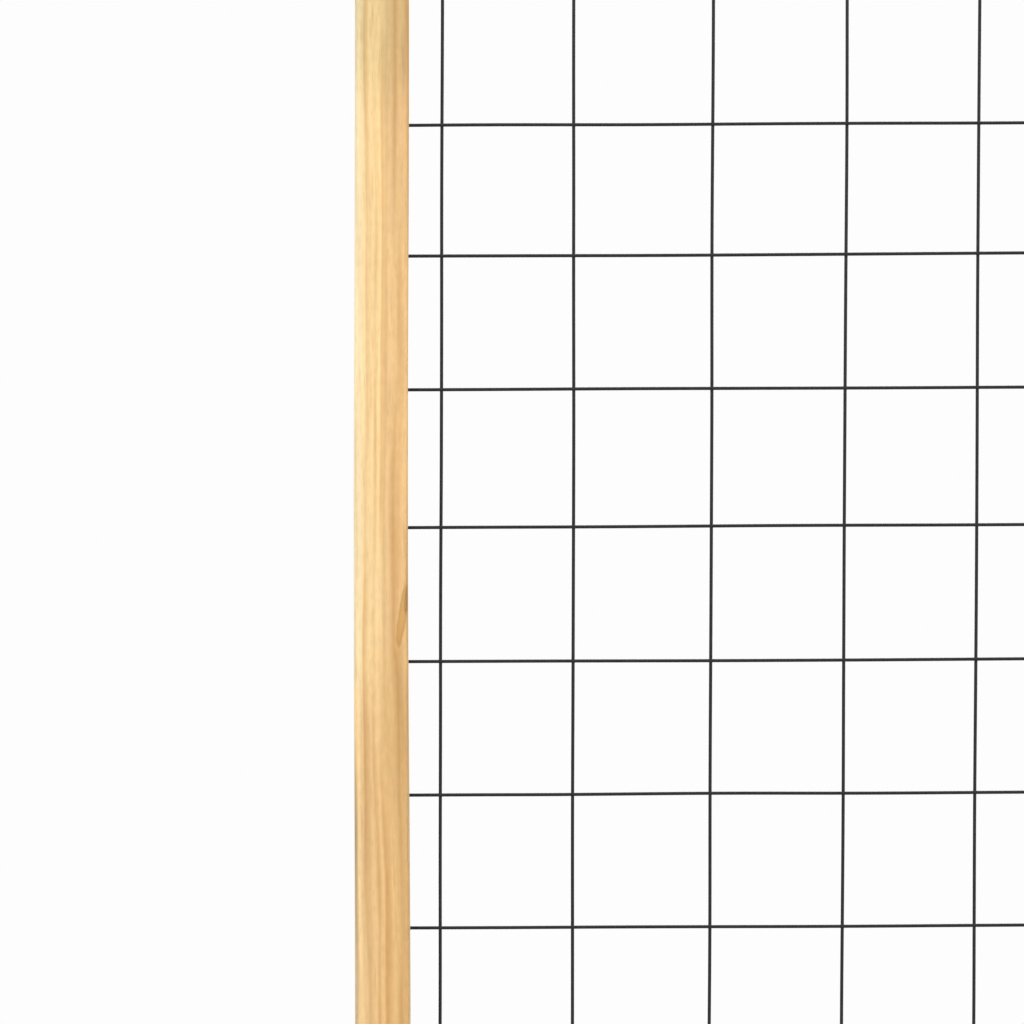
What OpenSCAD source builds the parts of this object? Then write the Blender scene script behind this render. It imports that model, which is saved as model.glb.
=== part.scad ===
// Wooden plant trellis panel: a planed pine frame with a welded wire mesh let into its back.
// Millimetres. +X to the right, +Y to the back, +Z up.
// The origin is the middle of the bottom edge, halfway through the timber.

/* [Mesh] */
// Number of mesh cells across the panel
column_count = 8; // [4:1:12]
// Number of mesh cells up the panel
row_count = 17; // [6:1:24]
// Spacing of the wires, centre to centre
mesh_pitch = 100; // [75:5:150]
// Diameter of a mesh wire over its coating
wire_d = 2.5; // [1.6:0.1:3]
// From the frame's inner face to the centre of the nearest wire
edge_gap = 24; // [16:1:40]

/* [Timber] */
// Width of a stile, seen from the front
stile_w = 40; // [36:1:60]
// Width of a rail, seen from the front
rail_w = 40; // [36:1:60]
// Depth of the timber, front to back
timber_d = 40; // [36:1:60]
// Radius of the eased long edges
edge_r = 2.5; // [1:0.5:4]

/* [Rebate] */
// Width of the rebate that the mesh lies in
rebate_w = 12; // [10:0.5:14]
// How far the staple crowns stay below the frame's back
back_clear = 2.4; // [1:0.2:4]
// Share of the rebate's width that the wire ends reach across
wire_end_share = 0.85; // [0.7:0.05:0.95]

/* [Staples] */
// Diameter of the staple wire
staple_wire_d = 1.6; // [1.4:0.1:2]
// Length of a staple, crown to point
staple_l = 15; // [12:1:18]
// Gap between a mesh wire and each leg of its staple
leg_gap = 1; // [0.5:0.1:2]
// Slack round a staple leg in the timber
staple_clear = 0.05; // [0.02:0.01:0.1]

/* [Corner joints] */
// Diameter of the dowel in a corner
dowel_d = 8; // [6:1:10]
// Length of a dowel, half of it in each timber
dowel_l = 40; // [30:2:50]
// Bevel on a dowel's ends
dowel_bevel = 1; // [0.5:0.25:1.5]
// Slack round a dowel and past each end of it
dowel_clear = 0.1; // [0.05:0.05:0.3]
// Diameter of a corner screw's shank
screw_d = 5; // [4:0.5:6]
// Diameter of a corner screw's head
screw_head_d = 10; // [8:0.5:12]
// How far a corner screw reaches into the rail
screw_bite = 40; // [25:1:45]
// Slack round a corner screw
screw_clear = 0.2; // [0.1:0.05:0.3]
// How far a screw head sits below the stile's face
head_sink = 0.4; // [0.2:0.1:1]

/* [Wall fixing holes] */
// Diameter of the four holes through the rails
fixing_d = 5.5; // [4:0.5:7]
// Diameter of the countersink at the front of each hole
fixing_head_d = 11; // [8:0.5:14]

/* [Hidden] */
// Smoothness of round shapes
$fn = 48;
// Overrun that takes a cut clear of the face it opens
cut_over = 1;

// Distance of each corner screw from the rail's middle, as a share of the rail's width
screw_up_share = 0.25;
// Distance of each corner screw from the centre plane, as a share of the timber's depth
screw_back_share = 0.225;
// Core of the screw thread, as a share of the shank
core_share = 0.65;
// Length of a screw's point, in shank diameters
screw_point_share = 1.6;
// Length and width of the cross in a screw head, as shares of the head's diameter
cross_l_share = 0.5;
cross_w_share = 0.13;
// Depth of that cross, as a share of the head's diameter
cross_deep_share = 0.2;
// Length of a staple's points, in staple wire diameters
staple_point_share = 1.8;
// Blunt end of a staple's point, as a share of its wire
staple_blunt_share = 0.25;

upright_count = column_count + 1;
cross_count = row_count + 1;
inner_w = column_count * mesh_pitch + 2 * edge_gap;
inner_h = row_count * mesh_pitch + 2 * edge_gap;
panel_w = inner_w + 2 * stile_w;
panel_h = inner_h + 2 * rail_w;

back_y = timber_d / 2;
stile_rebate_d = 2 * wire_d + staple_wire_d + back_clear;
rail_rebate_d = stile_rebate_d - wire_d;
stile_floor_y = back_y - stile_rebate_d;
rail_floor_y = back_y - rail_rebate_d;
cross_y = stile_floor_y + wire_d / 2;
upright_y = rail_floor_y + wire_d / 2;
wire_end = rebate_w * wire_end_share;

leg_off = wire_d / 2 + leg_gap + staple_wire_d / 2;
crown_lift = wire_d + staple_wire_d / 2;
leg_l = staple_l - staple_wire_d / 2;
leg_point_l = staple_point_share * staple_wire_d;
leg_hole_d = staple_wire_d + 2 * staple_clear;

screw_l = stile_w + screw_bite;
screw_core_d = screw_d * core_share;
screw_head_h = (screw_head_d - screw_d) / 2;
screw_point_l = screw_d * screw_point_share;
screw_up = rail_w * screw_up_share;
screw_back = timber_d * screw_back_share;

fixing_x = (column_count - 1) * mesh_pitch / 2;
fixing_z = (rail_w - rebate_w) / 2;
fixing_sink = (fixing_head_d - fixing_d) / 2;

UPRIGHT_WIRES = [for (i = [1 : upright_count]) str("upright_wire_", i)];
CROSS_WIRES = [for (i = [1 : cross_count]) str("cross_wire_", i)];

// Which node to draw

// Height of a cross wire and distance of an upright wire from the middle
function cross_z(i) = rail_w + edge_gap + (i - 1) * mesh_pitch;
function upright_x(i) = (i - (upright_count + 1) / 2) * mesh_pitch;

// Turns and lifts what is drawn for the bottom so that it serves the top
module at_top() {
    translate([0, 0, panel_h])
        mirror([0, 0, 1])
            children();
}

// Draws what is made for the right side on the left
module at_left() {
    mirror([1, 0, 0])
        children();
}

// Section of a planed timber with its four edges eased
module eased_section(w, d) {
    square([w - 2 * edge_r, d], center = true);
    square([w, d - 2 * edge_r], center = true);
    for (x = [-1, 1])
        for (y = [-1, 1])
            translate([x * (w / 2 - edge_r), y * (d / 2 - edge_r)])
                circle(r = edge_r);
}

// The two screw places of a bottom corner: x is left at the joint's plane
module at_corner_screws() {
    for (s = [-1, 1])
        translate([0, -s * screw_back, rail_w / 2 + s * screw_up])
            children();
}

// A countersunk wood screw, head at zero, pointing along +Z
module wood_screw() {
    difference() {
        rotate_extrude()
            polygon([
                [0, 0],
                [screw_head_d / 2, 0],
                [screw_d / 2, screw_head_h],
                [screw_d / 2, stile_w],
                [screw_core_d / 2, stile_w + (screw_d - screw_core_d) / 2],
                [screw_core_d / 2, screw_l - screw_point_l],
                [0, screw_l]
            ]);
        for (a = [0, 90])
            rotate([0, 0, a])
                translate([0, 0, cross_deep_share * screw_head_d / 2 - cut_over / 2])
                    cube([
                        cross_l_share * screw_head_d,
                        cross_w_share * screw_head_d,
                        cross_deep_share * screw_head_d + cut_over
                    ], center = true);
    }
}

// The hole that a corner screw runs in: clear through the stile, tight in the rail
module wood_screw_hole() {
    rotate_extrude()
        polygon([
            [0, -head_sink - cut_over],
            [screw_head_d / 2 + screw_clear, -head_sink - cut_over],
            [screw_head_d / 2 + screw_clear, 0],
            [screw_d / 2 + screw_clear, screw_head_h],
            [screw_d / 2 + screw_clear, stile_w + (screw_d - screw_core_d) / 2],
            [screw_core_d / 2 + screw_clear, stile_w + (screw_d - screw_core_d) / 2],
            [screw_core_d / 2 + screw_clear, screw_l + screw_clear],
            [0, screw_l + screw_clear]
        ]);
}

// Lays what is drawn along +Z into the right-hand stile's outer face, pointing inwards
module from_outer_face() {
    translate([panel_w / 2 - head_sink, 0, 0])
        rotate([0, -90, 0])
            children();
}

// A dowel across the right-hand joint, grown all round by a slack
module dowel_shape(slack) {
    r = dowel_d / 2 + slack;
    half = dowel_l / 2 + slack;
    translate([inner_w / 2, 0, rail_w / 2])
        rotate([0, 90, 0])
            rotate_extrude()
                polygon([
                    [0, -half],
                    [r - dowel_bevel, -half],
                    [r, dowel_bevel - half],
                    [r, half - dowel_bevel],
                    [r - dowel_bevel, half],
                    [0, half]
                ]);
}

// Holes of one bottom right corner, cut from both timbers that meet there
module corner_holes() {
    dowel_shape(dowel_clear);
    at_corner_screws()
        from_outer_face()
            wood_screw_hole();
}

// A staple over a wire along X: the rebate's floor is at zero, the legs point along -Y
module staple() {
    translate([0, crown_lift, 0]) {
        cylinder(d = staple_wire_d, h = 2 * leg_off, center = true);
        for (z = [-leg_off, leg_off])
            translate([0, 0, z]) {
                sphere(d = staple_wire_d);
                rotate([90, 0, 0])
                    rotate_extrude()
                        polygon([
                            [0, 0],
                            [staple_wire_d / 2, 0],
                            [staple_wire_d / 2, leg_l - leg_point_l],
                            [staple_blunt_share * staple_wire_d / 2, leg_l],
                            [0, leg_l]
                        ]);
            }
    }
}

// The two holes that a staple's legs make
module staple_holes() {
    for (z = [-leg_off, leg_off])
        translate([0, cut_over, z])
            rotate([90, 0, 0])
                cylinder(d = leg_hole_d, h = leg_l - crown_lift + staple_clear + cut_over);
}

// Places for the staples over the cross wires in the right-hand stile
module at_stile_staples() {
    for (i = [1 : cross_count])
        translate([inner_w / 2 + rebate_w / 2, stile_floor_y, cross_z(i)])
            children();
}

// Places for the staples over the upright wires in the bottom rail
module at_rail_staples() {
    for (i = [1 : upright_count])
        translate([upright_x(i), rail_floor_y, rail_w - rebate_w / 2])
            rotate([0, 90, 0])
                children();
}

// The right-hand stile: rebated behind, drilled at both corners and stapled along the rebate
module stile() {
    color("burlywood")
        difference() {
            translate([(inner_w + stile_w) / 2, 0, 0])
                linear_extrude(panel_h)
                    eased_section(stile_w, timber_d);
            translate([inner_w / 2 - cut_over, stile_floor_y, rail_w - rebate_w])
                cube([rebate_w + cut_over, stile_rebate_d + cut_over, inner_h + 2 * rebate_w]);
            corner_holes();
            at_top()
                corner_holes();
            at_stile_staples()
                staple_holes();
        }
}

// The bottom rail, cut off square between the stiles
module rail() {
    color("tan")
        difference() {
            translate([-inner_w / 2, 0, rail_w / 2])
                rotate([90, 0, 90])
                    linear_extrude(inner_w)
                        eased_section(timber_d, rail_w);
            translate([-inner_w / 2 - cut_over, rail_floor_y, rail_w - rebate_w])
                cube([inner_w + 2 * cut_over, rail_rebate_d + cut_over, rebate_w + cut_over]);
            corner_holes();
            at_left()
                corner_holes();
            at_rail_staples()
                staple_holes();
            for (x = [-fixing_x, fixing_x])
                translate([x, -back_y, fixing_z])
                    fixing_hole();
        }
}

// A countersunk hole from the front face through the timber
module fixing_hole() {
    rotate([-90, 0, 0])
        rotate_extrude()
            polygon([
                [0, -cut_over],
                [fixing_head_d / 2 + cut_over, -cut_over],
                [fixing_d / 2, fixing_sink],
                [fixing_d / 2, timber_d + cut_over],
                [0, timber_d + cut_over]
            ]);
}

module right_stile() {
    stile();
}

module left_stile() {
    at_left()
        stile();
}

module bottom_rail() {
    rail();
}

module top_rail() {
    at_top()
        rail();
}

// One dowel in each corner
module corner_dowels() {
    color("peru") {
        dowel_shape(0);
        at_left()
            dowel_shape(0);
        at_top() {
            dowel_shape(0);
            at_left()
                dowel_shape(0);
        }
    }
}

// The screws of one bottom right corner
module corner_pair() {
    at_corner_screws()
        from_outer_face()
            wood_screw();
}

// Two screws in each corner, driven through the stiles into the rails' ends
module corner_screws() {
    color("silver") {
        corner_pair();
        at_left()
            corner_pair();
        at_top() {
            corner_pair();
            at_left()
                corner_pair();
        }
    }
}

module right_staples() {
    color("gainsboro")
        at_stile_staples()
            staple();
}

module left_staples() {
    at_left()
        right_staples();
}

module bottom_staples() {
    color("gainsboro")
        at_rail_staples()
            staple();
}

module top_staples() {
    at_top()
        bottom_staples();
}

// An upright mesh wire, lying on the floors of both rails' rebates
module upright_wire(i) {
    color("dimgray")
        translate([upright_x(i), upright_y, rail_w - wire_end])
            cylinder(d = wire_d, h = inner_h + 2 * wire_end);
}

// A cross wire, welded to the front of the uprights and lying on the stiles' rebate floors
module cross_wire(i) {
    color("dimgray")
        translate([-inner_w / 2 - wire_end, cross_y, cross_z(i)])
            rotate([0, 90, 0])
                cylinder(d = wire_d, h = inner_w + 2 * wire_end);
}

left_stile();
right_stile();
top_rail();
bottom_rail();
corner_dowels();
corner_screws();
left_staples();
right_staples();
top_staples();
bottom_staples();
for (i = [1 : upright_count])
    upright_wire(i);
for (i = [1 : cross_count])
    cross_wire(i);
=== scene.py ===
import math
from collections import namedtuple

import bmesh
import bpy
from mathutils import Euler, Matrix, Vector, noise


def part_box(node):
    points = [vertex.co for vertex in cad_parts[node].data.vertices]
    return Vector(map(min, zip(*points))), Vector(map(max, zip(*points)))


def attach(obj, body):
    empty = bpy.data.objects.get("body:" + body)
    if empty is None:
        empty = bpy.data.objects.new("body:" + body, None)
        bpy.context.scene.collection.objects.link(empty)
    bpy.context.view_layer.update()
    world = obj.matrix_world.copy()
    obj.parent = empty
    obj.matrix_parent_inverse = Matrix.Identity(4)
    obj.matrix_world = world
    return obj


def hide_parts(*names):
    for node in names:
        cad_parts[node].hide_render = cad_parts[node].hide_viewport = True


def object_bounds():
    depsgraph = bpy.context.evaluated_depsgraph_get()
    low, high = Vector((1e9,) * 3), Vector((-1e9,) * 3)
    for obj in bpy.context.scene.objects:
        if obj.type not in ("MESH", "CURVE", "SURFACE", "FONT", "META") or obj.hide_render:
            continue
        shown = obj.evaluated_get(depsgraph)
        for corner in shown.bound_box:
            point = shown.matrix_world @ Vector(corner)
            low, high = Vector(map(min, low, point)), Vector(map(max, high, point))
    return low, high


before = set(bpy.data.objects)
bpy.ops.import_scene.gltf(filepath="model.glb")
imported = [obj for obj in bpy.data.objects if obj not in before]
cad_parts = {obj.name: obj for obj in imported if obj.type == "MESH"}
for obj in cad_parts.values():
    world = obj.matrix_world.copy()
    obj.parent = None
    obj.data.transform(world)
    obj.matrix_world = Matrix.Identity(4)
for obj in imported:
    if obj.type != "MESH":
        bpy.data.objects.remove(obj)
cad_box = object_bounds()

MM = 0.001
X, Y, Z = 0, 1, 2
AXES = (Vector((1, 0, 0)), Vector((0, 1, 0)), Vector((0, 0, 1)))
QUARTER_TURN = math.pi / 2

# Planed timber: long edges eased, sawn ends just broken, and cut across so that it can bend. The cutters
# overrun it a little, and faces that are nearly square to an axis are shaded flat.
EASED_EDGE = 2.5 * MM
EASED_STEPS = 5
SAWN_EDGE = 0.5 * MM
SAWN_STEPS = 2
CUT_SPACING = 55 * MM
REBATE_W = 12 * MM
OVERRUN = 1 * MM
SAME_PLACE = 0.001 * MM
FLAT_WITHIN = math.radians(2)
TIMBER_CREASE = math.radians(32)

# Timber bows out and back over this length, and is true at these places along it
BOW_LENGTH = 900 * MM
TRUE_AT = {X: 0, Z: 975 * MM}

# Countersinks of the corner screws, placed by their distance from the stile's end and from the middle of
# its depth
SCREW_HEAD_D = 10.4 * MM
SCREW_SHANK_D = 5.4 * MM
SCREW_HEAD_SINK = 0.4 * MM
SCREW_HOLE_L = 12 * MM
SCREW_PLACES = ((10 * MM, 9 * MM), (30 * MM, -9 * MM))

# Countersunk wall fixing holes in the rails
FIXING_D = 5.5 * MM
FIXING_HEAD_D = 11 * MM
FIXING_SPACING = 700 * MM
HOLE_SIDES = 32

# Staples over the wire ends
STAPLE_WIRE_D = 1.6 * MM
STAPLE_L = 15 * MM
STAPLE_LEG_GAP = 1 * MM
STAPLE_BEND = 0.7 * MM

# Welds at the wire crossings, and the steel core that shows at a wire's cut end
WELD_WIDE = 1.9 * MM
WELD_DEEP = 1.45 * MM
WELD_SIDES = 8
WELD_RINGS = 5
CORE_D = 1.7 * MM
CORE_PROUD = 0.05 * MM
CORE_SIDES = 12

# Mesh wires, drawn as short straight lengths
WIRE_STEP = 20 * MM
WIRE_ROUNDING = 4
WIRE_CREASE = math.radians(60)

# A welded mesh is never quite true. Each wire strays from its pitch by this many millimetres,
# the uprights lean and the cross wires rise to the right by so many millimetres in a metre,
# and all of them waver a little.
UPRIGHT_STRAYS = (0.5, -0.8, 1.9, 1.3, -0.2, -1, 0.5, 1, -0.5)
UPRIGHT_LEANS = (2.8, 1, 2.8, 3.6, 3, 2.5, 2, 3, 2.5)
CROSS_STRAYS = (0.5, -1, 1.5, 0, -0.5, 1, 0.2, 0, -0.3, 0, 2.8, 2.3, -0.5, -1, 0.5, 1.5, -0.5, 0)
CROSS_RISE = 4.8
WAVER = 0.6 * MM
WAVER_LENGTH = 170 * MM
# Where the wires lie in the noise that they waver by, so that each has a part of its own
WAVER_APART = 5.17
WAVER_ROW = 0.3
CROSS_WAVER = 40

# What the photograph frames: the left stile and the first five uprights
VIEW_ACROSS = 763.6 * MM
VIEW_X = -346.5 * MM
VIEW_Z = 973.5 * MM
VIEW_DISTANCE = 6.0
VIEW_TILT = math.radians(3)
SENSOR = 36.0

# Studio, in metres: the floor fades into the white surround between two distances from its middle
BACKGROUND = "#fdfdfd"
FLOOR_COLOUR = "#f2f2f0"
FLOOR_RADIUS = 3.4
FLOOR_SIDES = 96
FLOOR_FADE = (1.2, 3.2)
FILL = 0.305

# Places taken from the frame: the wires lie on the floors of the rebates
panel_low, panel_high = cad_box
stile_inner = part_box("right_stile")[0].x
rail_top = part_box("bottom_rail")[1].z
rail_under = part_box("top_rail")[0].z
stile_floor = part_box("cross_wire_1")[0].y
rail_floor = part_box("upright_wire_1")[0].y
cross_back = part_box("cross_wire_1")[1].y
weld_y = (cross_back + rail_floor) / 2


# Small helpers

def linear(hex_colour):
    """An sRGB hex colour as linear RGBA."""
    parts = [int(hex_colour[i:i + 2], 16) / 255 for i in (1, 3, 5)]
    return [c / 12.92 if c <= 0.04045 else ((c + 0.055) / 1.055) ** 2.4 for c in parts] + [1.0]


def add(tree, kind, sockets=None, stops=(), **settings):
    """Adds a node with its settings; a socket takes a value or another node's output.
    The stops of a colour ramp are its places and colours, in order."""
    made = tree.nodes.new(kind)
    for key, value in settings.items():
        setattr(made, key, value)
    for socket, value in (sockets or {}).items():
        if isinstance(value, bpy.types.NodeSocket):
            tree.links.new(value, made.inputs[socket])
        else:
            made.inputs[socket].default_value = value
    # A new ramp already has its two ends, so they are set before the stops between them are added.
    for place, (at, colour) in enumerate((*stops[:1], *stops[-1:], *stops[1:-1])):
        ramp = made.color_ramp.elements
        mark = ramp[place] if place < 2 else ramp.new(at)
        mark.position = at
        mark.color = linear(colour)
    return made


def new_material(name):
    """An empty material and its node tree."""
    material = bpy.data.materials.new(name)
    material.use_nodes = True
    material.node_tree.nodes.clear()
    return material, material.node_tree


def surface(tree, sockets):
    """Ends a material with its shader, given what goes into the shader's sockets."""
    shader = add(tree, "ShaderNodeBsdfPrincipled", sockets)
    add(tree, "ShaderNodeOutputMaterial", {"Surface": shader.outputs[0]})


def new_piece(name, mesh, material, slot, *nodes):
    """Puts a finished mesh in the scene in place of the CAD nodes it stands for."""
    piece = bpy.data.objects.new(name, mesh)
    bpy.context.scene.collection.objects.link(piece)
    piece.data.materials.clear()
    piece.data.materials.append(material)
    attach(piece, "root")
    if nodes:
        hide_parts(*nodes)


def mesh_from(bm, name):
    """Turns a bmesh into a mesh and frees it."""
    mesh = bpy.data.meshes.new(name)
    bm.to_mesh(mesh)
    bm.free()
    return mesh


def applied(thing, name):
    """Turns an object, with its modifiers or its thickness, into a plain mesh, and removes the object."""
    mesh = bpy.data.meshes.new_from_object(thing.evaluated_get(bpy.context.evaluated_depsgraph_get()))
    mesh.name = name
    bpy.data.objects.remove(thing)
    return mesh


# Pine

# A pattern in the wood is noise in patches of a width and of a length along the grain, in millimetres, with
# so much finer detail in it. From a low to a high value of the noise it goes from weak to strong.
# Flecks, fibres and resin canals are drawn wider than life, so that they show.
Pattern = namedtuple("Pattern", "width length detail low high weak strong", defaults=(0, 1, 0, 1))
GRAIN_BEND = Pattern(60, 420, 2)
GRAIN_WAVER = Pattern(11, 110, 2)
RING_PATCHES = Pattern(8, 190, 1, 0.36, 0.62, 0.2, 1.1)
FLECKS = Pattern(2.2, 34, 1, 0.54, 0.74, 0, 0.5)
RESIN_CANALS = Pattern(0.45, 10, 0, 0.64, 0.84, 0, 0.7)
TONE_PATCHES = Pattern(14, 120, 1)
CLOUDS = Pattern(16, 210, 2, 0.3, 0.7, 0.93, 1.06)
FIBRES = Pattern(1, 26, 4, 0.3, 0.7, 0.97, 1.025)
MOTTLE = Pattern(3.5, 8, 2, 0.3, 0.7, 0.96, 1.04)
KNOT_RIMS = Pattern(3, 6, 2)
# Patches where grime and painted shade of the arrises grey the long edges
GRIME_AND_SHADE_PATCHES = Pattern(5, 120, 2, 0.48, 0.68, 0, 0.4)

# How far the grain bends and wavers, over what distance from the pith the years are alike, how far they
# shift a ring, how far the place where the tones fade wanders along the grain, and where grime and painted
# shade grey a long edge: from so far to so far inside the square corner. In millimetres.
BEND_FAR = 14
WAVER_FAR = 2.6
YEARS_ALIKE = 14
YEAR_SHIFT = 9
TONE_SHIFT = 160
GREYED_EDGE = (2.9, 1.6)

# How far a face looks along the timber where end grain begins and where it is full, and its shade there
END_FACING = (0.7, 0.95)
END_GRAIN_SHADE = 0.72

# Planed wood is matt, its late wood a little less so, and its rings and fibres stand out very slightly
EARLY_ROUGH = 0.68
LATE_ROUGH = 0.56
RELIEF_DEPTH = 0.2 * MM
RELIEF_STRENGTH = 0.25
RING_RELIEF = 0.5

# Colour of the wood at so many millimetres from the edge of the heartwood
TONES = ((-25, "#ffebc0"), (-19, "#fee6b6"), (-16.5, "#f9daa3"), (-8, "#fad69a"), (-1.2, "#fedca2"),
         (1.2, "#e7c089"), (8, "#eac288"), (16, "#e9bf83"), (34, "#dab072"))
# How much late wood there is through one ring, what it tints the wood, and what grime and painted shade
# tint a long edge
LATE_WOOD = ((0, "#383838"), (0.25, "#606060"), (0.52, "#d8d8d8"), (0.68, "#ffffff"), (0.85, "#b0b0b0"),
             (1, "#383838"))
LATE_TINT = "#e3d4bf"
GRIME_AND_ARRIS_SHADE = "#b4b4b8"

# Browns from the middle of a knot or a resin streak, by way of its rim, to twice as far out, and the share
# of that way at which they have faded into the wood
RIM_SHARE = 0.5
RIM_WOBBLE = 0.5
Browns = namedtuple("Browns", "fades stops")
KNOT = Browns(0.95, ((0, "#93622f"), (0.14, "#b68046"), (0.26, "#a06c38"), (0.36, "#bd884b"),
                     (0.45, "#84562c"), (0.54, "#c08d4d"), (0.72, "#d9ad68"), (1, "#e3bb7c")))
RESIN = Browns(0.76, ((0, "#cd9b54"), (0.36, "#c7954e"), (0.5, "#bb8c4e"), (0.62, "#d6a863"),
                      (1, "#dcae6a")))

# A knot, a stain or a patch of painted shade has a centre (across, deep, along the grain) and a radius in
# millimetres, and it is stretched so many times through the depth, more for a knot that goes right through,
# and along the grain. A knot leans by an angle in radians and has a depth of colour and its browns; a stain
# or a patch of painted shade has its tint.
Knot = namedtuple("Knot", "centre radius stretch lean depth browns", defaults=(0, 1, KNOT))
StainAndShade = namedtuple("StainAndShade", "centre radius stretch tint")
THROUGH = 50
# Grey-blue along a front arris: blue stain in the wood, and on the left stile painted shade of the arris
BLUE_STAIN_AND_ARRIS_SHADE = "#bcc4dc"

# Each timber's own look, in millimetres: where the pith lies from its middle, the width of a ring, the edge
# of the heartwood at the timber's start and end, where one fades into the other, and how far it bows.
# Its grain leans by an angle in radians, and it winds by so many degrees.
LOOKS = {
    "left_stile": {
        "pith": (62, 30), "lean": 0.006, "ring": 5.9, "edges": (-14.5, 4.5), "fade": (-130, -35),
        "bow": 0.8, "wind": -3.5,
        "knots": (Knot((16, -20, -16), 2.5, (4, 8.5), 0.14, 0.85, RESIN),
                  Knot((19.7, -20, -3), 1.8, (4, 6), 0.12, 0.55),
                  Knot((-6, 0, 560), 6, (THROUGH, 3)),
                  Knot((8, 0, -640), 5, (THROUGH, 3))),
        # Painted shade: grey-blue lines down the front left arris, and a pale grey patch darkening the face
        # high up
        "stains_and_shade": (StainAndShade((-20.5, -20, -270), 3.4, (1, 60), "#d2d8ec"),
                   StainAndShade((-20.5, -20, 440), 3.4, (1, 30), BLUE_STAIN_AND_ARRIS_SHADE),
                   StainAndShade((2, -20, 440), 34, (2, 3), "#e8ece8")),
    },
    "right_stile": {
        "pith": (-18, 58), "lean": -0.004, "ring": 5, "edges": (12, -8), "fade": (-300, 200),
        "bow": -0.6, "wind": 2,
        "knots": (Knot((4, 0, 330), 6.5, (THROUGH, 2.6)),
                  Knot((-12, 0, -420), 5, (THROUGH, 3)),
                  Knot((10, 0, 780), 4, (THROUGH, 3))),
        "stains_and_shade": (StainAndShade((20, -20, -300), 3, (1, 50), BLUE_STAIN_AND_ARRIS_SHADE),),
    },
    "top_rail": {
        "pith": (40, 46), "lean": 0.008, "ring": 5.2, "edges": (-5, 9), "fade": (-200, 200),
        "bow": 0.4, "wind": 0.6,
        "knots": (Knot((-7, 0, 180), 5.5, (THROUGH, 2.8)),),
        "stains_and_shade": (StainAndShade((20, -20, 100), 3, (1, 40), BLUE_STAIN_AND_ARRIS_SHADE),),
    },
    "bottom_rail": {
        "pith": (-50, 38), "lean": -0.007, "ring": 5.6, "edges": (6, -10), "fade": (-200, 200),
        "bow": 0.4, "wind": -0.4,
        "knots": (Knot((6, 0, -230), 6, (THROUGH, 2.6)),),
        "stains_and_shade": (StainAndShade((-20, -20, -60), 3, (1, 50), BLUE_STAIN_AND_ARRIS_SHADE),),
    },
}

# The sockets of a colour mix node
MIX_A, MIX_B, MIXED = 6, 7, 2


def along_grain(tree, flow, pattern):
    """The noise of a pattern, drawn out along the grain."""
    drawn = add(tree, "ShaderNodeVectorMath", {
        0: flow, 1: (1 / pattern.width, 1 / pattern.width, 1 / pattern.length)}, operation="MULTIPLY")
    return add(tree, "ShaderNodeTexNoise", {
        "Vector": drawn.outputs[0], "Scale": 1, "Detail": pattern.detail})


def shown(tree, flow, pattern):
    """How strongly a pattern shows at a place, and the noise that this comes from."""
    patches = along_grain(tree, flow, pattern).outputs[0]
    strength = add(tree, "ShaderNodeMapRange", {
        "Value": patches, "From Min": pattern.low, "From Max": pattern.high,
        "To Min": pattern.weak, "To Max": pattern.strong})
    return strength.outputs[0], patches


def spot(tree, grain, centre, stretch, lean=0):
    """Where a place lies from a spot that is drawn out through the depth and along the grain, and the
    square of its distance."""
    near = add(tree, "ShaderNodeMapping", {
        "Vector": grain, "Location": centre, "Rotation": (0, lean, 0), "Scale": (1, *stretch),
    }, vector_type="TEXTURE").outputs[0]
    reach = add(tree, "ShaderNodeVectorMath", {0: near, 1: near}, operation="DOT_PRODUCT")
    return near, reach.outputs["Value"]


def timber_grain(tree, along, low, high, lean):
    """A place in a timber, in millimetres from its middle: across, deep and along the grain."""
    turn = Euler((0, lean + (QUARTER_TURN if along == X else 0), 0))
    start = -(turn.to_matrix() @ ((low + high) / 2 / MM))
    coords = add(tree, "ShaderNodeTexCoord")
    return add(tree, "ShaderNodeMapping", {
        "Vector": coords.outputs["Object"], "Location": start,
        "Rotation": turn, "Scale": (1 / MM, 1 / MM, 1 / MM),
    }).outputs[0]


def grain_flow(tree, grain, knots):
    """The grain as it flows round the knots, wanders slowly over the length of the timber and wavers a
    little on the way; and the squared distance from each knot."""
    flow = grain
    reaches = []
    for knot in knots:
        near, reach = spot(tree, grain, knot.centre, knot.stretch, knot.lean)
        push = add(tree, "ShaderNodeMath", {0: knot.radius ** 2, 1: reach},
                   operation="DIVIDE", use_clamp=True)
        aside = add(tree, "ShaderNodeVectorMath", {0: near, 1: AXES[X]}, operation="MULTIPLY")
        shift = add(tree, "ShaderNodeVectorMath", {0: aside.outputs[0], "Scale": push.outputs[0]},
                    operation="SCALE")
        flow = add(tree, "ShaderNodeVectorMath", {0: flow, 1: shift.outputs[0]},
                   operation="SUBTRACT").outputs[0]
        reaches.append(reach)
    for pattern, far in ((GRAIN_BEND, BEND_FAR), (GRAIN_WAVER, WAVER_FAR)):
        drift = along_grain(tree, flow, pattern)
        drift = add(tree, "ShaderNodeVectorMath", {0: drift.outputs["Color"], 1: (0.5, 0.5, 0.5)},
                    operation="SUBTRACT")
        drift = add(tree, "ShaderNodeVectorMath", {0: drift.outputs[0], 1: (far, far, 0)},
                    operation="MULTIPLY")
        flow = add(tree, "ShaderNodeVectorMath", {0: flow, 1: drift.outputs[0]},
                   operation="ADD").outputs[0]
    return flow, reaches


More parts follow.
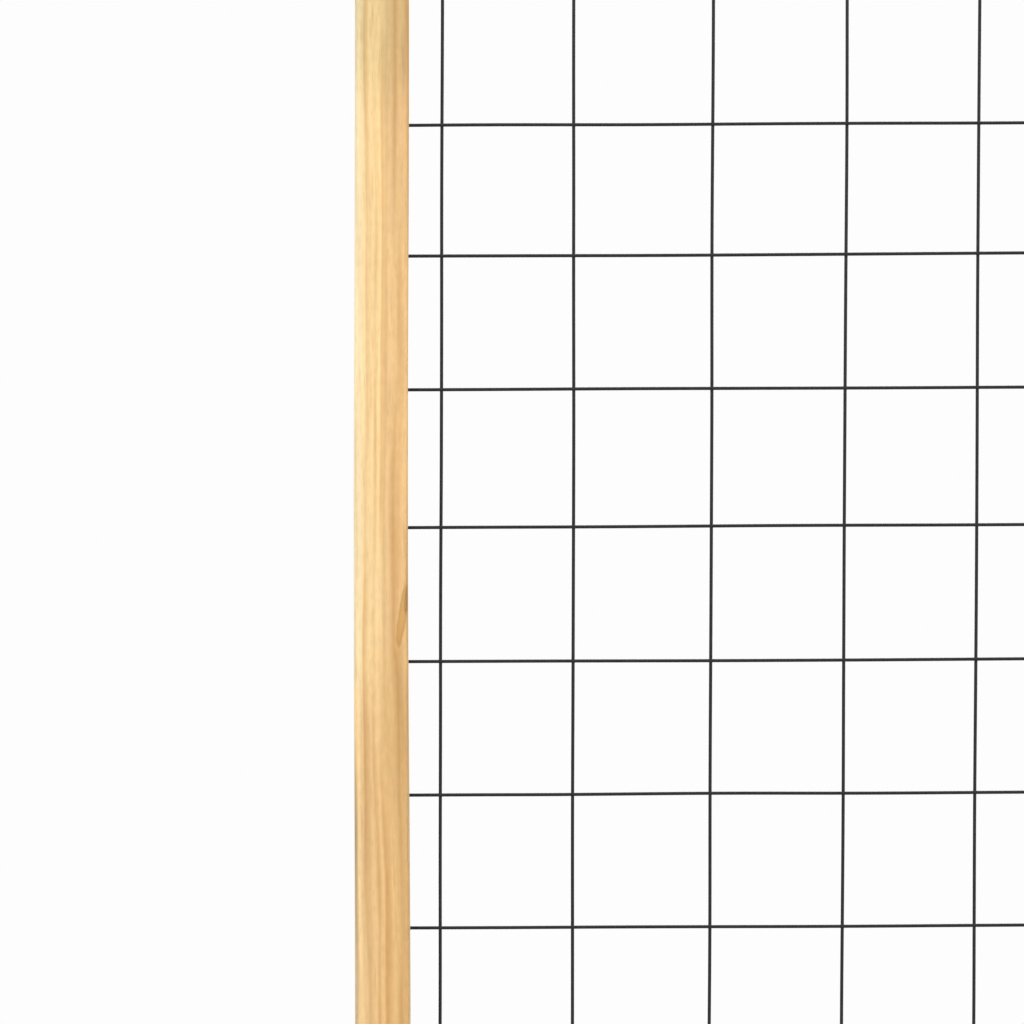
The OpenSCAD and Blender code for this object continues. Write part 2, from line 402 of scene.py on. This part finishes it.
def growth_rings(tree, flow, look):
    """Late wood by the distance from the pith, in good and bad years, stronger here and fainter there."""
    pith = add(tree, "ShaderNodeVectorMath", {0: flow, 1: (*look["pith"], 0)}, operation="SUBTRACT")
    pith = add(tree, "ShaderNodeVectorMath", {0: pith.outputs[0], 1: (1, 1, 0)}, operation="MULTIPLY")
    away = add(tree, "ShaderNodeVectorMath", {0: pith.outputs[0]}, operation="LENGTH").outputs["Value"]
    year = add(tree, "ShaderNodeTexNoise", {"W": away, "Scale": 1 / YEARS_ALIKE, "Detail": 2},
               noise_dimensions="1D")
    year = add(tree, "ShaderNodeMath", {0: year.outputs[0], 1: YEAR_SHIFT, 2: away},
               operation="MULTIPLY_ADD")
    ring = add(tree, "ShaderNodeMath", {0: year.outputs[0], 1: look["ring"]}, operation="DIVIDE")
    ring = add(tree, "ShaderNodeMath", {0: ring.outputs[0]}, operation="FRACT")
    late = add(tree, "ShaderNodeValToRGB", {0: ring.outputs[0]}, LATE_WOOD)
    clear = shown(tree, flow, RING_PATCHES)[0]
    return add(tree, "ShaderNodeMath", {0: late.outputs[0], 1: clear}, operation="MULTIPLY").outputs[0]


def fine_marks(tree, flow, rings):
    """The rings with flecks among them, and resin canals, which only show from near by: fine dark lines
    a centimetre long."""
    marks = rings
    for pattern in (FLECKS, RESIN_CANALS):
        mark = shown(tree, flow, pattern)[0]
        marks = add(tree, "ShaderNodeMath", {0: marks, 1: mark}, operation="MAXIMUM").outputs[0]
    return marks


def heartwood_tone(tree, flow, look):
    """Tone across the timber, from sapwood to heartwood; the edge between them lies in another place
    further along, and one fades into the other."""
    parts = add(tree, "ShaderNodeSeparateXYZ", {0: flow})
    first, last = TONES[0][0], TONES[-1][0]
    stops = [((at - first) / (last - first), colour) for at, colour in TONES]
    tones = []
    for edge in look["edges"]:
        inside = add(tree, "ShaderNodeMapRange", {
            "Value": parts.outputs[0], "From Min": edge + first, "From Max": edge + last})
        tones.append(add(tree, "ShaderNodeValToRGB", {0: inside.outputs[0]}, stops).outputs[0])
    patch = along_grain(tree, flow, TONE_PATCHES)
    patch = add(tree, "ShaderNodeMath", {0: patch.outputs[0], 1: TONE_SHIFT, 2: parts.outputs[2]},
                operation="MULTIPLY_ADD")
    start, end = (place + TONE_SHIFT / 2 for place in look["fade"])
    upper = add(tree, "ShaderNodeMapRange", {
        "Value": patch.outputs[0], "From Min": start, "From Max": end}, interpolation_type="SMOOTHSTEP")
    return add(tree, "ShaderNodeMix", {0: upper.outputs[0], MIX_A: tones[0], MIX_B: tones[1]},
               data_type="RGBA").outputs[MIXED]


def wood_shade(tree, grain, flow, streaks, along):
    """How bright the wood is: cloudy, with the streaks of its fibres, finely mottled, and dark where the
    cut ends of the fibres soak up light."""
    geometry = add(tree, "ShaderNodeNewGeometry")
    ends = add(tree, "ShaderNodeVectorMath", {0: geometry.outputs["Normal"], 1: AXES[along]},
               operation="DOT_PRODUCT")
    ends = add(tree, "ShaderNodeMath", {0: ends.outputs["Value"]}, operation="ABSOLUTE")
    ends = add(tree, "ShaderNodeMapRange", {
        "Value": ends.outputs[0], "From Min": END_FACING[0], "From Max": END_FACING[1],
        "To Min": 1, "To Max": END_GRAIN_SHADE})
    shade = shown(tree, flow, CLOUDS)[0]
    for other in (streaks, shown(tree, grain, MOTTLE)[0], ends.outputs[0]):
        shade = add(tree, "ShaderNodeMath", {0: shade, 1: other}, operation="MULTIPLY").outputs[0]
    return shade


def with_knots(tree, grain, colour, knots, reaches):
    """The wood with its knots, ringed brown inside a dark rim with a halo of amber, and resin streaks."""
    wobble = along_grain(tree, grain, KNOT_RIMS)
    start = RIM_WOBBLE / 2
    for knot, reach in zip(knots, reaches):
        share = add(tree, "ShaderNodeMath", {0: reach, 1: 0.5}, operation="POWER")
        share = add(tree, "ShaderNodeMath", {0: share.outputs[0], 1: knot.radius}, operation="DIVIDE")
        share = add(tree, "ShaderNodeMath", {0: wobble.outputs[0], 1: RIM_WOBBLE, 2: share.outputs[0]},
                    operation="MULTIPLY_ADD")
        share = add(tree, "ShaderNodeMapRange", {
            "Value": share.outputs[0], "From Min": start, "From Max": start + 1 / RIM_SHARE})
        brown = add(tree, "ShaderNodeValToRGB", {0: share.outputs[0]}, knot.browns.stops)
        cover = add(tree, "ShaderNodeMapRange", {
            "Value": share.outputs[0], "From Min": knot.browns.fades, "From Max": RIM_SHARE,
            "To Max": knot.depth}, interpolation_type="SMOOTHSTEP")
        colour = add(tree, "ShaderNodeMix", {
            0: cover.outputs[0], MIX_A: colour, MIX_B: brown.outputs[0]}, data_type="RGBA").outputs[MIXED]
    return colour


def with_stains_and_shade(tree, grain, colour, corner_at, stains_and_shade):
    """The wood with its long edges greyed by grime and painted shade, and tinted by stains and painted
    shade.
    """
    # Grime and painted shade of the arrises: the long edges greyed in patches near the square corner
    corner = add(tree, "ShaderNodeVectorMath", {0: grain}, operation="ABSOLUTE")
    corner = add(tree, "ShaderNodeVectorMath", {0: corner.outputs[0], 1: (1, 1, 0)},
                 operation="DOT_PRODUCT")
    edge = add(tree, "ShaderNodeMapRange", {
        "Value": corner.outputs["Value"],
        "From Min": corner_at - GREYED_EDGE[0], "From Max": corner_at - GREYED_EDGE[1]})
    grime_and_shade = add(tree, "ShaderNodeMath", {0: shown(tree, grain, GRIME_AND_SHADE_PATCHES)[0], 1: edge.outputs[0]},
                operation="MULTIPLY")
    tints = [(grime_and_shade, GRIME_AND_ARRIS_SHADE)]
    for tinted in stains_and_shade:
        reach = spot(tree, grain, tinted.centre, tinted.stretch)[1]
        cover = add(tree, "ShaderNodeMapRange", {
            "Value": reach, "From Min": tinted.radius ** 2, "From Max": 0}, interpolation_type="SMOOTHSTEP")
        tints.append((cover, tinted.tint))
    for cover, tint in tints:
        colour = add(tree, "ShaderNodeMix", {0: cover.outputs[0], MIX_A: colour, MIX_B: linear(tint)},
                     data_type="RGBA", blend_type="MULTIPLY").outputs[MIXED]
    return colour


def pine(name, along, low, high, look):
    """Planed pine, unsealed: pale sapwood beside tan heartwood, soft growth rings that come and go,
    short flecks along the grain, knots that the grain flows round, dark end grain and greyed edges."""
    material, tree = new_material(name)
    grain = timber_grain(tree, along, low, high, look["lean"])
    flow, reaches = grain_flow(tree, grain, look["knots"])
    marks = fine_marks(tree, flow, growth_rings(tree, flow, look))
    streaks, fibre = shown(tree, flow, FIBRES)

    wood = add(tree, "ShaderNodeMix", {
        0: marks, MIX_A: heartwood_tone(tree, flow, look), MIX_B: linear(LATE_TINT),
    }, data_type="RGBA", blend_type="MULTIPLY")
    shade = wood_shade(tree, grain, flow, streaks, along)
    colour = add(tree, "ShaderNodeVectorMath", {0: wood.outputs[MIXED], "Scale": shade},
                 operation="SCALE").outputs[0]
    colour = with_knots(tree, grain, colour, look["knots"], reaches)
    sides = [high[i] - low[i] for i in (X, Y, Z) if i != along]
    colour = with_stains_and_shade(tree, grain, colour, sum(sides) / 2 / MM, look["stains_and_shade"])

    dull = add(tree, "ShaderNodeMapRange", {"Value": marks, "To Min": EARLY_ROUGH, "To Max": LATE_ROUGH})
    relief = add(tree, "ShaderNodeMath", {0: marks, 1: RING_RELIEF, 2: fibre}, operation="MULTIPLY_ADD")
    bump = add(tree, "ShaderNodeBump", {
        "Height": relief.outputs[0], "Strength": RELIEF_STRENGTH, "Distance": RELIEF_DEPTH})
    surface(tree, {"Base Color": colour, "Roughness": dull.outputs[0], "Normal": bump.outputs[0]})
    return material


# Other finishes

# Sizes of their patterns, and how much rougher metal is where it is dull. The flecks in beech are drawn
# larger than life, so that they show.
COATING_PATCH = 6 * MM
BEECH_FLECK_L = 12 * MM
BEECH_FLECK_W = 0.8 * MM
DULL_METAL = 0.15


def coated_wire():
    """Steel wire with a black polymer coating: near black, satin, faintly uneven."""
    material, tree = new_material("black_coated_wire")
    coords = add(tree, "ShaderNodeTexCoord")
    patch = add(tree, "ShaderNodeTexNoise", {
        "Vector": coords.outputs["Object"], "Scale": 1 / COATING_PATCH, "Detail": 3})
    tone = add(tree, "ShaderNodeValToRGB", {0: patch.outputs[0]}, ((0.3, "#161617"), (0.75, "#222224")))
    dull = add(tree, "ShaderNodeMapRange", {"Value": patch.outputs[0], "To Min": 0.34, "To Max": 0.5})
    surface(tree, {"Base Color": tone.outputs[0], "Roughness": dull.outputs[0], "Specular IOR Level": 0.22})
    return material


def grey_metal(name, pale, dark, rough, crystal):
    """Cut or zinc-plated steel: a soft metal grey, clouded by its crystals and duller where it is darker.
    The crystals are drawn larger than life, so that they show."""
    material, tree = new_material(name)
    coords = add(tree, "ShaderNodeTexCoord")
    patch = add(tree, "ShaderNodeTexVoronoi", {"Vector": coords.outputs["Object"], "Scale": 1 / crystal})
    far = patch.outputs["Distance"]
    tone = add(tree, "ShaderNodeValToRGB", {0: far}, ((0.1, pale), (0.9, dark)))
    dull = add(tree, "ShaderNodeMapRange", {"Value": far, "To Min": rough, "To Max": rough + DULL_METAL})
    surface(tree, {"Base Color": tone.outputs[0], "Roughness": dull.outputs[0], "Metallic": 1.0})
    return material


def beech():
    """Turned beech dowel: even pinkish tan with short dark flecks along the grain."""
    material, tree = new_material("turned_beech")
    coords = add(tree, "ShaderNodeTexCoord")
    grain = add(tree, "ShaderNodeMapping", {
        "Vector": coords.outputs["Object"],
        "Scale": (1 / BEECH_FLECK_L, 1 / BEECH_FLECK_W, 1 / BEECH_FLECK_W)})
    fleck = add(tree, "ShaderNodeTexNoise", {"Vector": grain.outputs[0], "Scale": 1, "Detail": 3})
    tone = add(tree, "ShaderNodeValToRGB", {0: fleck.outputs[0]}, ((0.35, "#b98d60"), (0.6, "#d6b083")))
    surface(tree, {"Base Color": tone.outputs[0], "Roughness": 0.6})
    return material


# Timber

def cutter_box(bm, low, high):
    """Adds a block to a cutter."""
    block = bmesh.ops.create_cube(bm, size=1.0)["verts"]
    bmesh.ops.scale(bm, vec=high - low, verts=block)
    bmesh.ops.translate(bm, vec=(low + high) / 2, verts=block)


def countersink(bm, mouth, inwards, head_d, shank_d, sink, deep):
    """Adds a countersunk hole to a cutter, spun from half of its outline."""
    slope = (head_d - shank_d) / 2
    outline = ((0, -OVERRUN), (head_d / 2, -OVERRUN), (head_d / 2, sink),
               (shank_d / 2, sink + slope), (shank_d / 2, deep), (0, deep))
    bit = bmesh.new()
    points = [bit.verts.new((radius, 0, depth)) for radius, depth in outline]
    edges = [bit.edges.new(pair) for pair in zip(points, points[1:])]
    bmesh.ops.spin(bit, geom=points + edges, cent=(0, 0, 0), axis=AXES[Z],
                   angle=math.tau, steps=HOLE_SIDES, use_merge=True)
    turn = AXES[Z].rotation_difference(inwards).to_matrix().to_4x4()
    bmesh.ops.transform(bit, matrix=Matrix.Translation(mouth) @ turn, verts=bit.verts)
    bm.from_mesh(mesh_from(bit, "bit"))


def cut_stile(bm, low, high):
    """The rebate behind the stile's inner edge, and the four countersinks in its outer face."""
    side = 1 if low.x > 0 else -1
    outer = side * panel_high.x
    inner = side * stile_inner
    span = sorted((inner - side * OVERRUN, inner + side * REBATE_W))
    cutter_box(bm, Vector((span[0], stile_floor, rail_top - REBATE_W)),
               Vector((span[1], high.y + OVERRUN, rail_under + REBATE_W)))
    for from_end, back in SCREW_PLACES:
        for z in (from_end, panel_high.z - from_end):
            countersink(bm, Vector((outer, back, z)), -side * AXES[X],
                        SCREW_HEAD_D, SCREW_SHANK_D, SCREW_HEAD_SINK, SCREW_HOLE_L)


def cut_rail(bm, low, high):
    """The rebate along the rail's inner edge, and its two wall fixing holes."""
    top = low.z > panel_high.z / 2
    inner = low.z if top else high.z
    out = 1 if top else -1
    span = sorted((inner - out * OVERRUN, inner + out * REBATE_W))
    cutter_box(bm, Vector((low.x - OVERRUN, rail_floor, span[0])),
               Vector((high.x + OVERRUN, high.y + OVERRUN, span[1])))
    from_outer = (high.z - low.z - REBATE_W) / 2
    z = high.z - from_outer if top else low.z + from_outer
    for x in (-FIXING_SPACING / 2, FIXING_SPACING / 2):
        countersink(bm, Vector((x, low.y, z)), AXES[Y],
                    FIXING_HEAD_D, FIXING_D, 0, high.y - low.y + OVERRUN)


def eased_blank(low, high, along):
    """A planed length of timber with its edges eased, cut across so that it can bend."""
    bm = bmesh.new()
    cutter_box(bm, low, high)
    arrises = [e for e in bm.edges if abs((e.verts[0].co - e.verts[1].co)[along]) > OVERRUN]
    bmesh.ops.bevel(bm, geom=arrises, offset=EASED_EDGE, offset_type="OFFSET", affect="EDGES",
                    segments=EASED_STEPS, profile=0.5, material=-1)
    rims = [e for e in bm.edges if abs((e.verts[0].co - e.verts[1].co)[along]) < OVERRUN]
    bmesh.ops.bevel(bm, geom=rims, offset=SAWN_EDGE, offset_type="OFFSET", affect="EDGES",
                    segments=SAWN_STEPS, profile=0.5, material=-1)
    length = (high - low)[along]
    cuts = round(length / CUT_SPACING)
    for i in range(1, cuts):
        at = (low + high) / 2 + AXES[along] * (i / cuts - 0.5) * length
        bmesh.ops.bisect_plane(bm, geom=bm.verts[:] + bm.edges[:] + bm.faces[:],
                               plane_co=at, plane_no=AXES[along])
    return bm


def bow_and_wind(mesh, low, high, along, bow, wind):
    """Bends a timber slightly to one side and turns it about its length, as real timber does."""
    middle = (low + high) / 2
    across = X if along == Z else Z
    length = (high - low)[along]
    for v in mesh.vertices:
        share = min(max((v.co[along] - low[along]) / length, 0), 1)
        spin = Matrix.Rotation(wind * math.sin(math.tau * share) * (1 - share), 3, AXES[along])
        off = v.co - middle
        straight = off[along]
        off[along] = 0
        off = spin @ off
        off[along] = straight
        wave = 1 - math.cos(math.tau * (v.co[along] - TRUE_AT[along]) / BOW_LENGTH)
        off[across] += bow * math.sin(math.pi * share) * wave
        v.co = middle + off


def timber(name, along, cut):
    """A finished stile or rail: a blank, its cuts, then its bow and wind."""
    low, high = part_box(name)
    look = LOOKS[name]
    blank = bpy.data.objects.new("blank", mesh_from(eased_blank(low, high, along), "blank"))
    cutter = bmesh.new()
    cut(cutter, low, high)
    bmesh.ops.remove_doubles(cutter, verts=cutter.verts, dist=SAME_PLACE)
    bmesh.ops.recalc_face_normals(cutter, faces=cutter.faces)
    knife = bpy.data.objects.new("knife", mesh_from(cutter, "knife"))
    for thing in (blank, knife):
        bpy.context.scene.collection.objects.link(thing)
    saw = blank.modifiers.new("saw", "BOOLEAN")
    saw.object = knife
    saw.operation = "DIFFERENCE"
    saw.solver = "EXACT"
    mesh = applied(blank, name)
    bpy.data.objects.remove(knife)
    for face in mesh.polygons:
        face.use_smooth = max(abs(part) for part in face.normal) < math.cos(FLAT_WITHIN)
    bow_and_wind(mesh, low, high, along, look["bow"] * MM, math.radians(look["wind"]))
    mesh.set_sharp_from_angle(angle=TIMBER_CREASE)
    material = pine("planed_pine_" + name, along, low, high, look)
    new_piece("pine_" + name, mesh, material, "pine", name)


timber("left_stile", Z, cut_stile)
timber("right_stile", Z, cut_stile)
timber("top_rail", X, cut_rail)
timber("bottom_rail", X, cut_rail)


# Mesh wires

def bent_wire(points, diameter, name):
    """A round wire along a line of points, with closed ends."""
    curve = bpy.data.curves.new(name, "CURVE")
    curve.dimensions = "3D"
    curve.bevel_depth = diameter / 2
    curve.bevel_resolution = WIRE_ROUNDING
    curve.use_fill_caps = True
    line = curve.splines.new("POLY")
    line.points.add(len(points) - 1)
    for place, point in zip(line.points, points):
        place.co = (*point, 1)
    guide = bpy.data.objects.new(name, curve)
    bpy.context.scene.collection.objects.link(guide)
    mesh = applied(guide, name)
    for face in mesh.polygons:
        face.use_smooth = True
    mesh.set_sharp_from_angle(angle=WIRE_CREASE)
    return mesh


def waver(wire, along):
    """The slow unevenness of one wire at a place along it."""
    return WAVER * noise.noise(Vector((wire * WAVER_APART, along / WAVER_LENGTH, WAVER_ROW)))


def upright_x(i, z):
    """Where upright wire i is at a height."""
    low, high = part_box(f"upright_wire_{i}")
    above = z - (panel_low.z + panel_high.z) / 2
    stray = UPRIGHT_STRAYS[i - 1] * MM
    lean = UPRIGHT_LEANS[i - 1] * MM * above
    return (low.x + high.x) / 2 + stray + lean + waver(i, z)


def cross_z(i, x):
    """How high cross wire i is at a place across the panel."""
    low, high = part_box(f"cross_wire_{i}")
    stray = CROSS_STRAYS[i - 1] * MM
    return (low.z + high.z) / 2 + stray + CROSS_RISE * MM * x + waver(i + CROSS_WAVER, x)


def steps(start, end):
    """Evenly spaced places from one end of a wire to the other."""
    count = round((end - start) / WIRE_STEP)
    return [start + (end - start) * i / count for i in range(count + 1)]


wire_finish = coated_wire()
uprights = range(1, len(UPRIGHT_STRAYS) + 1)
crosses = range(1, len(CROSS_STRAYS) + 1)
upwards = Matrix.Identity(4)
sideways = Matrix.Rotation(QUARTER_TURN, 4, "Y")
wire_ends = []
for i in uprights:
    low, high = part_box(f"upright_wire_{i}")
    y = (low.y + high.y) / 2
    path = [Vector((upright_x(i, z), y, z)) for z in steps(low.z, high.z)]
    wire_ends += [(path[0], upwards), (path[-1], upwards)]
    shape = bent_wire(path, high.y - low.y, f"upright_{i}")
    new_piece(f"mesh_upright_{i}", shape, wire_finish, "coated_wire", f"upright_wire_{i}")
for i in crosses:
    low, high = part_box(f"cross_wire_{i}")
    y = (low.y + high.y) / 2
    path = [Vector((x, y, cross_z(i, x))) for x in steps(low.x, high.x)]
    wire_ends += [(path[0], sideways), (path[-1], sideways)]
    shape = bent_wire(path, high.y - low.y, f"cross_{i}")
    new_piece(f"mesh_cross_{i}", shape, wire_finish, "coated_wire", f"cross_wire_{i}")

# The bare steel core that shows where each wire was cut to length
cores = bmesh.new()
for end, turn in wire_ends:
    disc = bmesh.ops.create_cone(cores, cap_ends=True, segments=CORE_SIDES, radius1=CORE_D / 2,
                                 radius2=CORE_D / 2, depth=2 * CORE_PROUD)["verts"]
    bmesh.ops.transform(cores, matrix=Matrix.Translation(end) @ turn, verts=disc)
core_finish = grey_metal("cut_steel", pale="#b9bbbd", dark="#8d9093", rough=0.4, crystal=0.5 * MM)
new_piece("cut_wire_ends", mesh_from(cores, "cores"), core_finish, "galvanised_steel")

# A flattened bead of coated weld wherever two wires cross
welds = bmesh.new()
for i in uprights:
    nominal = sum(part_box(f"upright_wire_{i}"), Vector()).x / 2
    for k in crosses:
        z = cross_z(k, nominal)
        bead = bmesh.ops.create_uvsphere(welds, u_segments=WELD_SIDES, v_segments=WELD_RINGS,
                                         radius=1.0)["verts"]
        bmesh.ops.scale(welds, vec=(WELD_WIDE, WELD_DEEP, WELD_WIDE), verts=bead)
        bmesh.ops.translate(welds, vec=(upright_x(i, z), weld_y, z), verts=bead)
for face in welds.faces:
    face.smooth = True
new_piece("mesh_welds", mesh_from(welds, "welds"), wire_finish, "coated_wire")


# Staples

def staple_mesh(wire_d):
    """One staple over a wire along X, its rebate floor at zero and its legs pointing along -Y."""
    half = wire_d / 2 + STAPLE_LEG_GAP + STAPLE_WIRE_D / 2
    crown = wire_d + STAPLE_WIRE_D / 2
    tip = crown + STAPLE_WIRE_D / 2 - STAPLE_L
    # One leg, and the rounded bend at its top with a point about halfway round
    side = [(tip, half), (crown - STAPLE_BEND, half),
            (crown - STAPLE_BEND / 3, half - STAPLE_BEND / 3), (crown, half - STAPLE_BEND)]
    path = [Vector((0, y, z)) for y, z in side] + [Vector((0, y, -z)) for y, z in reversed(side)]
    return bent_wire(path, STAPLE_WIRE_D, "staple")


def staple_row(name, places, turn):
    """All the staples along one timber, as one piece."""
    pattern = staple_mesh(cross_back - stile_floor)
    row = bmesh.new()
    for place in places:
        before = len(row.verts)
        row.from_mesh(pattern)
        row.verts.ensure_lookup_table()
        bmesh.ops.transform(row, matrix=Matrix.Translation(place) @ turn, verts=row.verts[before:])
    new_piece("wire_" + name, mesh_from(row, name), staple_finish, "galvanised_steel", name)


staple_finish = grey_metal("galvanised_wire", pale="#c3c5c6", dark="#94979a", rough=0.42, crystal=1.5 * MM)
in_stile = stile_inner + REBATE_W / 2
for name, x in (("left_staples", -in_stile), ("right_staples", in_stile)):
    staple_row(name, [Vector((x, stile_floor, cross_z(i, x))) for i in crosses], upwards)
for name, z in (("bottom_staples", rail_top - REBATE_W / 2), ("top_staples", rail_under + REBATE_W / 2)):
    staple_row(name, [Vector((upright_x(i, z), rail_floor, z)) for i in uprights], sideways)

# Hardware that keeps its CAD shape
screw_finish = grey_metal("bright_zinc_screw", pale="#c2c5c9", dark="#9ba0a6", rough=0.34, crystal=0.8 * MM)
for node, finish in (("corner_screws", screw_finish), ("corner_dowels", beech())):
    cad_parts[node].data.materials.clear()
    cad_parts[node].data.materials.append(finish)


# Studio

def studio_floor():
    """A pale matt floor that keeps the shadow and fades into the white surround."""
    material, tree = new_material("pale_studio_floor")
    matt = add(tree, "ShaderNodeBsdfPrincipled", {"Base Color": linear(FLOOR_COLOUR), "Roughness": 0.9})
    coords = add(tree, "ShaderNodeTexCoord")
    away = add(tree, "ShaderNodeVectorMath", {0: coords.outputs["Object"]}, operation="LENGTH")
    fade = add(tree, "ShaderNodeMapRange", {
        "Value": away.outputs["Value"], "From Min": FLOOR_FADE[0], "From Max": FLOOR_FADE[1],
    }, interpolation_type="SMOOTHSTEP")
    ray = add(tree, "ShaderNodeLightPath")
    seen = add(tree, "ShaderNodeMath", {0: fade.outputs[0], 1: ray.outputs["Is Camera Ray"]},
               operation="MULTIPLY")
    white = add(tree, "ShaderNodeEmission", {"Color": linear(BACKGROUND), "Strength": 1.0})
    mix = add(tree, "ShaderNodeMixShader", {0: seen.outputs[0], 1: matt.outputs[0], 2: white.outputs[0]})
    add(tree, "ShaderNodeOutputMaterial", {"Surface": mix.outputs[0]})
    return material


def studio_world():
    """White to the eye and in reflections, a soft even fill to everything else."""
    world = bpy.data.worlds.new("white_studio")
    world.use_nodes = True
    tree = world.node_tree
    tree.nodes.clear()
    ray = add(tree, "ShaderNodeLightPath")
    direct = add(tree, "ShaderNodeMath", {0: ray.outputs["Is Camera Ray"], 1: ray.outputs["Is Glossy Ray"]},
                 operation="MAXIMUM")
    direct = add(tree, "ShaderNodeMath", {0: direct.outputs[0], 1: ray.outputs["Is Transmission Ray"]},
                 operation="MAXIMUM")
    fill = add(tree, "ShaderNodeBackground", {"Color": linear("#ffffff"), "Strength": FILL})
    white = add(tree, "ShaderNodeBackground", {"Color": linear(BACKGROUND), "Strength": 1.0})
    mix = add(tree, "ShaderNodeMixShader", {0: direct.outputs[0], 1: fill.outputs[0], 2: white.outputs[0]})
    add(tree, "ShaderNodeOutputWorld", {"Surface": mix.outputs[0]})
    bpy.context.scene.world = world


def facing(place, way):
    """Where a light or a camera stands, turned to look along a way."""
    return Matrix.Translation(place) @ way.to_track_quat("-Z", "Y").to_matrix().to_4x4()


def softbox(name, place, size, power):
    """A square studio light aimed at the panel's middle."""
    light = bpy.data.lights.new(name, "AREA")
    light.size = size
    light.energy = power
    lamp = bpy.data.objects.new(name, light)
    lamp.matrix_world = facing(place, (panel_low + panel_high) / 2 - Vector(place))
    lamp.visible_camera = False
    bpy.context.scene.collection.objects.link(lamp)


studio_world()
softbox("key_light", place=(-2.0, -3.4, 2.6), size=2.4, power=67)
softbox("side_light", place=(2.6, -2.6, 1.4), size=2.0, power=48)
softbox("left_light", place=(-3.2, 1.1, 1.6), size=1.8, power=24)
softbox("back_light", place=(0.8, 3.2, 2.4), size=2.4, power=62)
softbox("top_light", place=(0.3, -0.6, 4.6), size=2.4, power=56)

floor_mesh = bmesh.new()
bmesh.ops.create_circle(floor_mesh, cap_ends=True, segments=FLOOR_SIDES, radius=FLOOR_RADIUS)
floor = bpy.data.objects.new("studio_floor", mesh_from(floor_mesh, "studio_floor"))
floor.data.materials.append(studio_floor())
bpy.context.scene.collection.objects.link(floor)

# Camera: square on to the mesh, looking very slightly down
lens = bpy.data.cameras.new("camera")
lens.sensor_width = SENSOR
lens.lens = SENSOR * VIEW_DISTANCE / VIEW_ACROSS
camera = bpy.data.objects.new("camera", lens)
back = Vector((0, -math.cos(VIEW_TILT), math.sin(VIEW_TILT))) * VIEW_DISTANCE
camera.matrix_world = facing(Vector((VIEW_X, weld_y, VIEW_Z)) + back, -back)
bpy.context.scene.collection.objects.link(camera)
bpy.context.scene.camera = camera
bpy.context.scene.view_settings.view_transform = "Standard"
